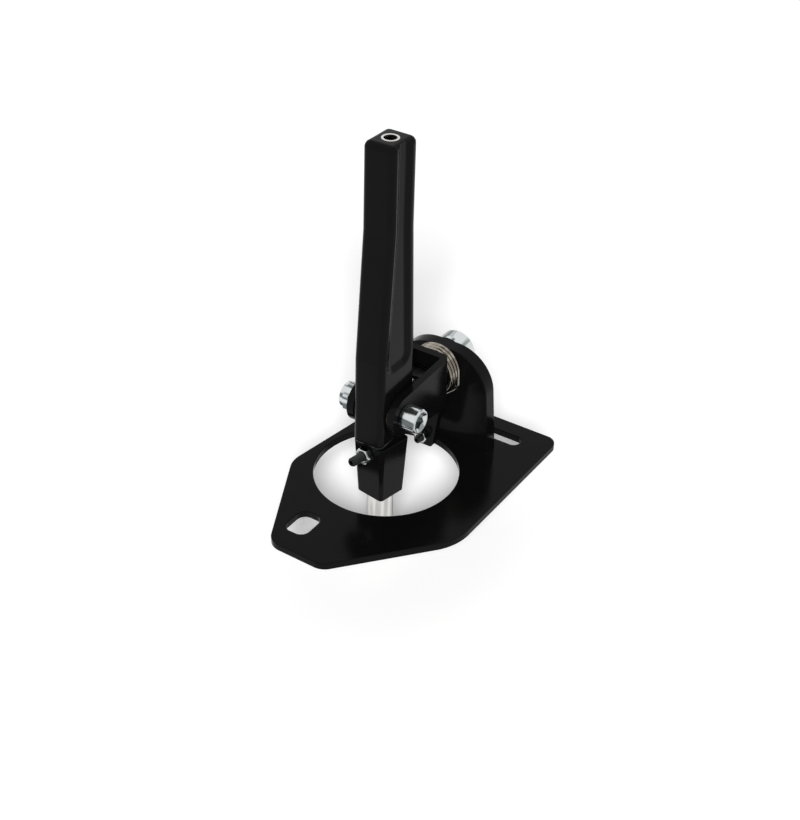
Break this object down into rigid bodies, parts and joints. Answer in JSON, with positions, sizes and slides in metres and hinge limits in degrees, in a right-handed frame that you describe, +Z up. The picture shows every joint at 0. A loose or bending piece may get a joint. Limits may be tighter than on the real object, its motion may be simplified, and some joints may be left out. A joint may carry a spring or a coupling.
{
  "type": "short shifter",
  "caption": "Car gear lever on a slotted base plate, with an upright bracket, a spring-centred tilting yoke, a swinging lever and an adjustable rod with a ball end.",
  "frame": {"origin": "on the base plate's underside, midway through the upright bracket's thickness and below the pivot pin's axis", "axes": "+Z up out of the plate, X across the car along the cross bolt with its head at +X, +Y from the lever to the bracket along the pivot pin"},
  "size_m": [0.1336, 0.1914, 0.2892],
  "materials": {
    "powder_coat": "satin black powder coat on steel",
    "zinc": "bright zinc plate",
    "steel": "turned and polished steel",
    "spring_steel": "spring wire, lightly warm in colour",
    "bronze": "plain bearing bronze",
    "black_oxide": "black oxide on alloy steel",
    "nylon": "off-white nylon"
  },
  "bodies": {
    "root": {"base_plate": "powder_coat", "upright_bracket": "powder_coat", "foot_screw_left": "zinc", "foot_screw_right": "zinc", "pivot_pin": "zinc", "pivot_spacer": "steel", "pivot_washer": "black_oxide", "pivot_nut": "black_oxide", "centring_spring": "spring_steel", "bracket_spring_peg": "zinc"},
    "yoke": {"yoke": "powder_coat", "yoke_bush_back": "bronze", "yoke_bush_front": "bronze", "yoke_spring_peg": "zinc", "stop_screw": "black_oxide", "stop_screw_nut": "zinc", "cross_bolt": "zinc", "cross_bolt_nut": "zinc", "nut_lock_ring": "nylon", "cross_bolt_washer": "black_oxide", "cross_bolt_sleeve": "steel"},
    "lever": {"lever": "powder_coat", "lever_bush_left": "bronze", "lever_bush_right": "bronze", "knob_insert": "steel", "lever_socket": "powder_coat", "clamp_screw": "black_oxide", "clamp_screw_nut": "zinc"},
    "rod": {"adjuster_rod": "steel", "rod_ball": "steel"}
  },
  "joints": [
    {"name": "yoke_tilt", "type": "hinge", "parent": "root", "child": "yoke", "pos_m": [0, -0.07125, 0.061], "axis": [0, 1, 0], "range_deg": [-10, 10], "stiffness_Nm_per_rad": 4, "deforming": ["centring_spring"]},
    {"name": "lever_swing", "type": "hinge", "parent": "yoke", "child": "lever", "pos_m": [0, -0.07125, 0.065], "axis": [1, 0, 0], "range_deg": [-14.5, 16]},
    {"name": "rod_slide", "type": "slide", "parent": "lever", "child": "rod", "axis": [0, 0.0419, 0.9991], "range_m": [-0.015, 0]}
  ]
}
